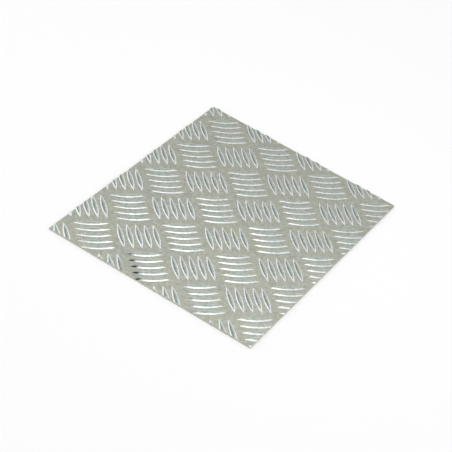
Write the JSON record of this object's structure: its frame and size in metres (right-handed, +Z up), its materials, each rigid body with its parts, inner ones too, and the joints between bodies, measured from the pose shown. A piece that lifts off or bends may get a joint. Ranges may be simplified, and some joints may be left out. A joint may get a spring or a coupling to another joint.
{
  "type": "aluminum checker plate",
  "caption": "Flat rolled aluminium sheet with a raised five-bar tread pattern on its top face, sheared to a rectangle",
  "frame": {"origin": "centre of the flat underside", "axes": "+Z up out of the patterned face, X along the short side, Y along the long side"},
  "size_m": [0.15, 0.2, 0.0016],
  "materials": {
    "mill_aluminium": "mill finish, as rolled, with a fine satin grain"
  },
  "bodies": {
    "root": {"tread_plate": "mill_aluminium"}
  },
  "joints": []
}
